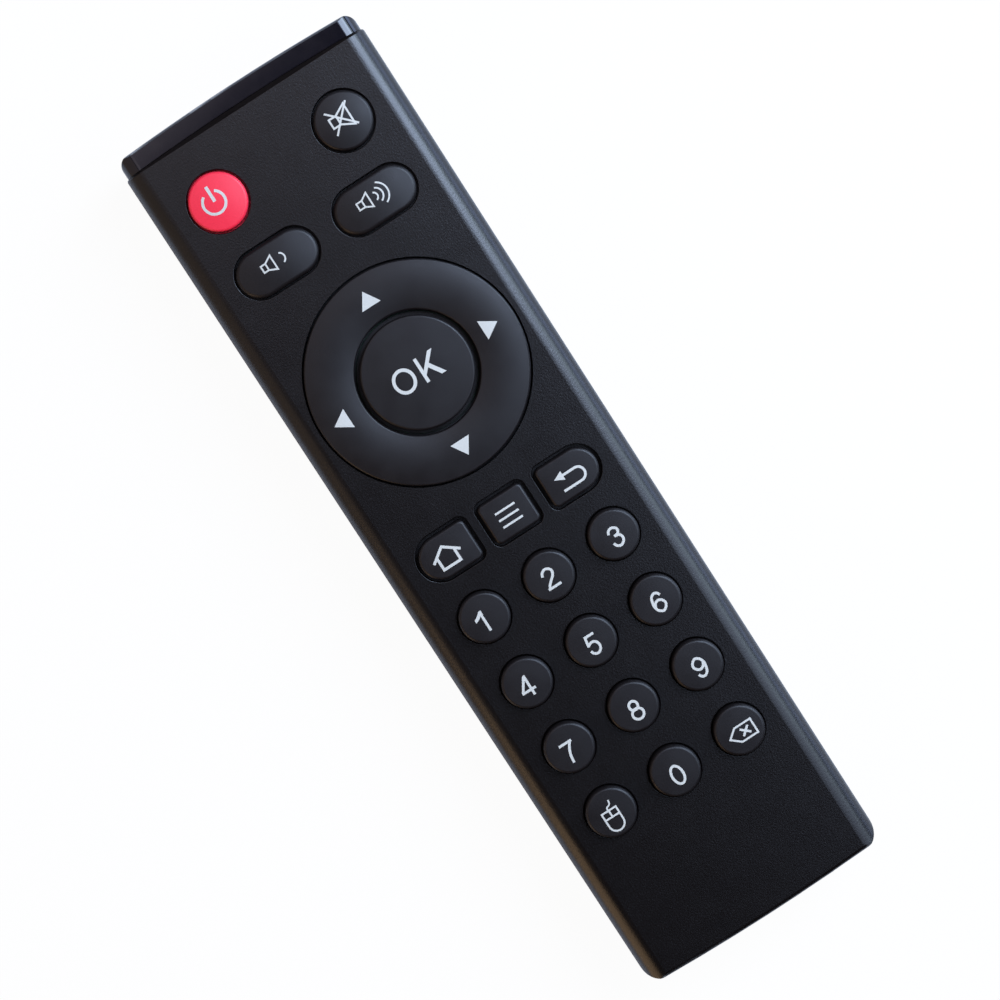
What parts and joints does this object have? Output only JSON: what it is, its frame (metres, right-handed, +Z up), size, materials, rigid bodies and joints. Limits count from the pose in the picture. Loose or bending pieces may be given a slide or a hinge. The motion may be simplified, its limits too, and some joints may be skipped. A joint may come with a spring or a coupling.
{
  "type": "remote control",
  "caption": "Slim black universal remote control with a number pad, a rocking ring round an OK key, volume keys, a red power key and a sliding battery cover.",
  "frame": {"origin": "centre of the underside, on the table plane below the middle of the case", "axes": "+X to the right seen from the keys, +Y towards the infrared window, +Z up through the keys"},
  "size_m": [0.0424, 0.1502, 0.0195],
  "materials": {
    "case_plastic": "fine matt texture",
    "window_plastic": "polished, nearly black",
    "key_plastic": "satin",
    "power_key_plastic": "satin, bright red",
    "legend_ink": "printed, pale grey",
    "sheet_rubber": "matt",
    "carbon_pill": "matt",
    "board_laminate": "solder mask, satin",
    "chip_plastic": "moulded epoxy",
    "ceramic_cap": "dipped ceramic",
    "diode_resin": "tinted clear resin",
    "can_metal": "drawn can",
    "cell_jacket": "printed film over the can",
    "contact_steel": "nickel plated"
  },
  "bodies": {
    "root": {"top_case": "case_plastic", "bottom_case": "case_plastic", "ir_window": "window_plastic", "keypad_mat": "sheet_rubber", "circuit_board": "board_laminate", "ir_led": "diode_resin", "controller_chip": "chip_plastic", "resonator": "ceramic_cap", "capacitor": "can_metal", "resistors": "chip_plastic", "battery_left": "cell_jacket", "battery_right": "cell_jacket", "contact_positive": "contact_steel", "contact_negative": "contact_steel", "contact_bridge": "contact_steel"},
    "battery_cover": {"battery_cover": "case_plastic"},
    "dpad_tilt": {"dpad_web": "sheet_rubber"},
    "dpad_ring": {"dpad_ring": "key_plastic", "dpad_pills": "carbon_pill"},
    "key_power": {"key_power": "power_key_plastic", "pill_power": "carbon_pill"},
    "key_mute": {"key_mute": "key_plastic", "pill_mute": "carbon_pill"},
    "key_volume_down": {"key_volume_down": "key_plastic", "pill_volume_down": "carbon_pill"},
    "key_volume_up": {"key_volume_up": "key_plastic", "pill_volume_up": "carbon_pill"},
    "key_ok": {"key_ok": "key_plastic", "pill_ok": "carbon_pill"},
    "key_home": {"key_home": "key_plastic", "pill_home": "carbon_pill"},
    "key_menu": {"key_menu": "key_plastic", "pill_menu": "carbon_pill"},
    "key_back": {"key_back": "key_plastic", "pill_back": "carbon_pill"},
    "key_1": {"key_1": "key_plastic", "pill_1": "carbon_pill"},
    "key_2": {"key_2": "key_plastic", "pill_2": "carbon_pill"},
    "key_3": {"key_3": "key_plastic", "pill_3": "carbon_pill"},
    "key_4": {"key_4": "key_plastic", "pill_4": "carbon_pill"},
    "key_5": {"key_5": "key_plastic", "pill_5": "carbon_pill"},
    "key_6": {"key_6": "key_plastic", "pill_6": "carbon_pill"},
    "key_7": {"key_7": "key_plastic", "pill_7": "carbon_pill"},
    "key_8": {"key_8": "key_plastic", "pill_8": "carbon_pill"},
    "key_9": {"key_9": "key_plastic", "pill_9": "carbon_pill"},
    "key_0": {"key_0": "key_plastic", "pill_0": "carbon_pill"},
    "key_mouse": {"key_mouse": "key_plastic", "pill_mouse": "carbon_pill"},
    "key_delete": {"key_delete": "key_plastic", "pill_delete": "carbon_pill"}
  },
  "joints": [
    {"name": "cover_slide", "type": "slide", "parent": "root", "child": "battery_cover", "axis": [0, -1, 0], "range_m": [0, 0.065]},
    {"name": "dpad_up_down", "type": "hinge", "parent": "root", "child": "dpad_tilt", "pos_m": [0, 0.02405, 0.0177], "axis": [1, 0, 0], "range_deg": [-3, 3], "stiffness_Nm_per_rad": 0.34, "deforming": ["dpad_web"]},
    {"name": "dpad_left_right", "type": "hinge", "parent": "dpad_tilt", "child": "dpad_ring", "pos_m": [0, 0.02405, 0.0177], "axis": [0, 1, 0], "range_deg": [-3, 3], "stiffness_Nm_per_rad": 0.34, "deforming": ["dpad_web"]},
    {"name": "key_power_press", "type": "slide", "parent": "root", "child": "key_power", "axis": [0, 0, -1], "range_m": [0, 0.0008], "stiffness_N_per_m": 1500},
    {"name": "key_mute_press", "type": "slide", "parent": "root", "child": "key_mute", "axis": [0, 0, -1], "range_m": [0, 0.0008], "stiffness_N_per_m": 1500},
    {"name": "key_volume_down_press", "type": "slide", "parent": "root", "child": "key_volume_down", "axis": [0, 0, -1], "range_m": [0, 0.0008], "stiffness_N_per_m": 1500},
    {"name": "key_volume_up_press", "type": "slide", "parent": "root", "child": "key_volume_up", "axis": [0, 0, -1], "range_m": [0, 0.0008], "stiffness_N_per_m": 1500},
    {"name": "key_ok_press", "type": "slide", "parent": "root", "child": "key_ok", "axis": [0, 0, -1], "range_m": [0, 0.0008], "stiffness_N_per_m": 1500},
    {"name": "key_home_press", "type": "slide", "parent": "root", "child": "key_home", "axis": [0, 0, -1], "range_m": [0, 0.0008], "stiffness_N_per_m": 1500},
    {"name": "key_menu_press", "type": "slide", "parent": "root", "child": "key_menu", "axis": [0, 0, -1], "range_m": [0, 0.0008], "stiffness_N_per_m": 1500},
    {"name": "key_back_press", "type": "slide", "parent": "root", "child": "key_back", "axis": [0, 0, -1], "range_m": [0, 0.0008], "stiffness_N_per_m": 1500},
    {"name": "key_1_press", "type": "slide", "parent": "root", "child": "key_1", "axis": [0, 0, -1], "range_m": [0, 0.0008], "stiffness_N_per_m": 1500},
    {"name": "key_2_press", "type": "slide", "parent": "root", "child": "key_2", "axis": [0, 0, -1], "range_m": [0, 0.0008], "stiffness_N_per_m": 1500},
    {"name": "key_3_press", "type": "slide", "parent": "root", "child": "key_3", "axis": [0, 0, -1], "range_m": [0, 0.0008], "stiffness_N_per_m": 1500},
    {"name": "key_4_press", "type": "slide", "parent": "root", "child": "key_4", "axis": [0, 0, -1], "range_m": [0, 0.0008], "stiffness_N_per_m": 1500},
    {"name": "key_5_press", "type": "slide", "parent": "root", "child": "key_5", "axis": [0, 0, -1], "range_m": [0, 0.0008], "stiffness_N_per_m": 1500},
    {"name": "key_6_press", "type": "slide", "parent": "root", "child": "key_6", "axis": [0, 0, -1], "range_m": [0, 0.0008], "stiffness_N_per_m": 1500},
    {"name": "key_7_press", "type": "slide", "parent": "root", "child": "key_7", "axis": [0, 0, -1], "range_m": [0, 0.0008], "stiffness_N_per_m": 1500},
    {"name": "key_8_press", "type": "slide", "parent": "root", "child": "key_8", "axis": [0, 0, -1], "range_m": [0, 0.0008], "stiffness_N_per_m": 1500},
    {"name": "key_9_press", "type": "slide", "parent": "root", "child": "key_9", "axis": [0, 0, -1], "range_m": [0, 0.0008], "stiffness_N_per_m": 1500},
    {"name": "key_0_press", "type": "slide", "parent": "root", "child": "key_0", "axis": [0, 0, -1], "range_m": [0, 0.0008], "stiffness_N_per_m": 1500},
    {"name": "key_mouse_press", "type": "slide", "parent": "root", "child": "key_mouse", "axis": [0, 0, -1], "range_m": [0, 0.0008], "stiffness_N_per_m": 1500},
    {"name": "key_delete_press", "type": "slide", "parent": "root", "child": "key_delete", "axis": [0, 0, -1], "range_m": [0, 0.0008], "stiffness_N_per_m": 1500}
  ]
}
